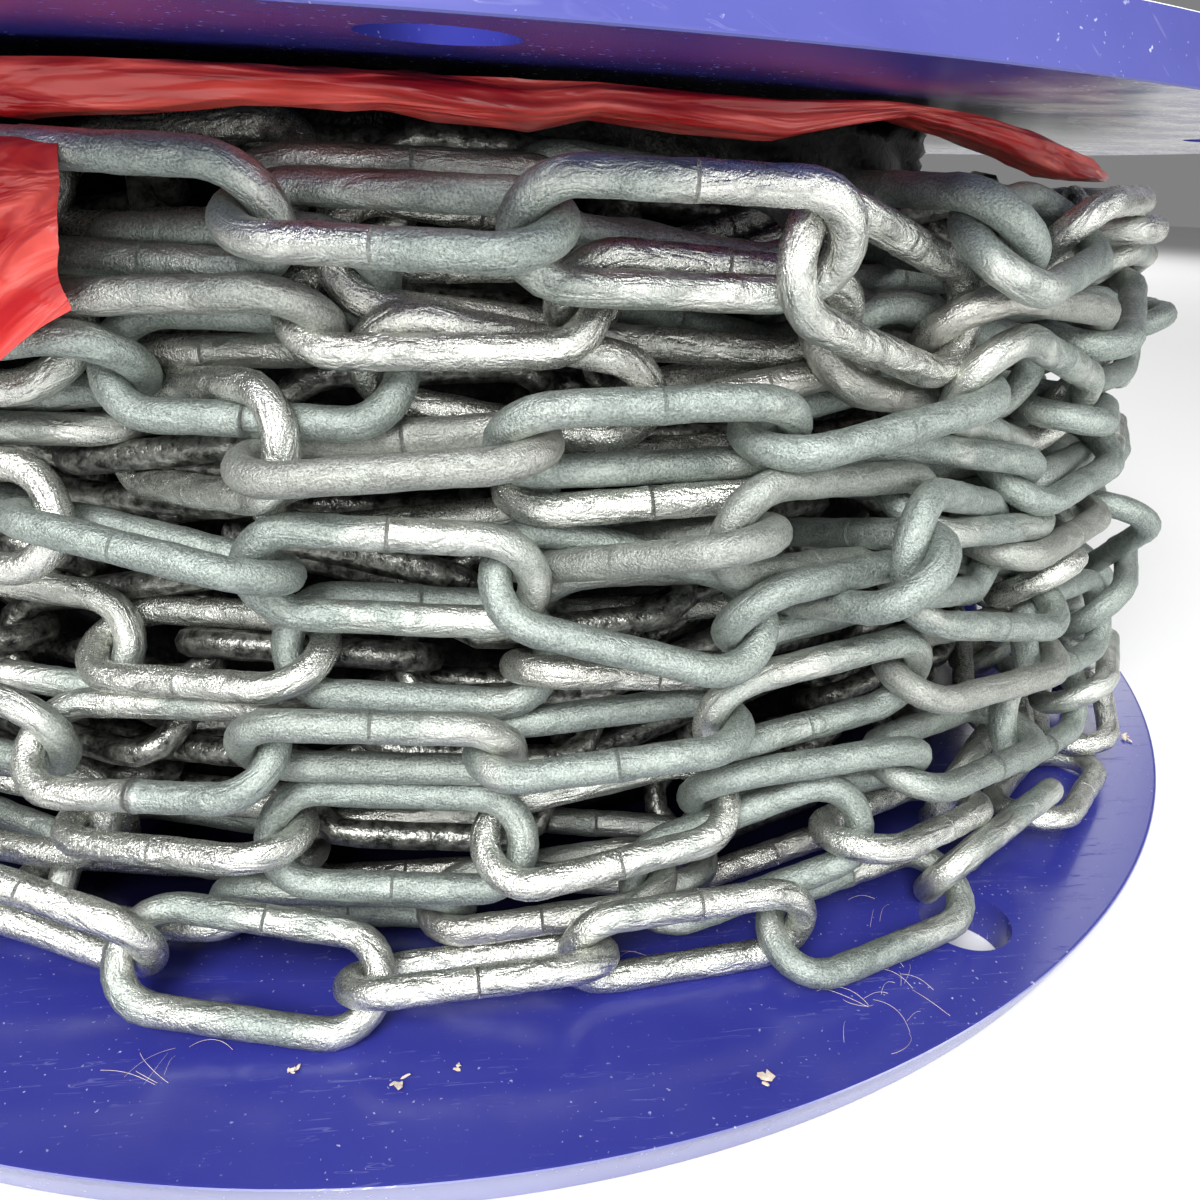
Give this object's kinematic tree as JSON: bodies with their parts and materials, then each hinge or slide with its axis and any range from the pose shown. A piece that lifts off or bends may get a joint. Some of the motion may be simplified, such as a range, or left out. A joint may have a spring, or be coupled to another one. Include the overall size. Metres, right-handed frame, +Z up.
{
  "type": "reel of steel chain",
  "caption": "Long-link galvanised steel chain wound on a blue plastic reel that lies on one flange, with red wrapping film over the top turn.",
  "frame": {"origin": "centre of the reel's lower outer face, on the floor", "axes": "+Z up along the reel's axis, -Y towards the side the picture shows"},
  "size_m": [0.48, 0.48, 0.184],
  "materials": {
    "blue_plastic": "glossy moulded plastic, scratched and dusty",
    "zinc_coated_steel": "hot-dip zinc, matt and spangled, with bright rubbed places",
    "red_film": "thin glossy stretch film, gathered and creased"
  },
  "bodies": {
    "root": {"lower_flange": "blue_plastic", "upper_flange": "blue_plastic", "drum": "blue_plastic", "chain_core": "zinc_coated_steel", "chain_loose_turn": "zinc_coated_steel", "chain_turn_1": "zinc_coated_steel", "chain_turn_2": "zinc_coated_steel", "chain_turn_3": "zinc_coated_steel", "chain_turn_4": "zinc_coated_steel", "chain_turn_5": "zinc_coated_steel", "chain_turn_6": "zinc_coated_steel", "chain_turn_7": "zinc_coated_steel", "chain_turn_8": "zinc_coated_steel", "wrap_film": "red_film"}
  },
  "joints": []
}
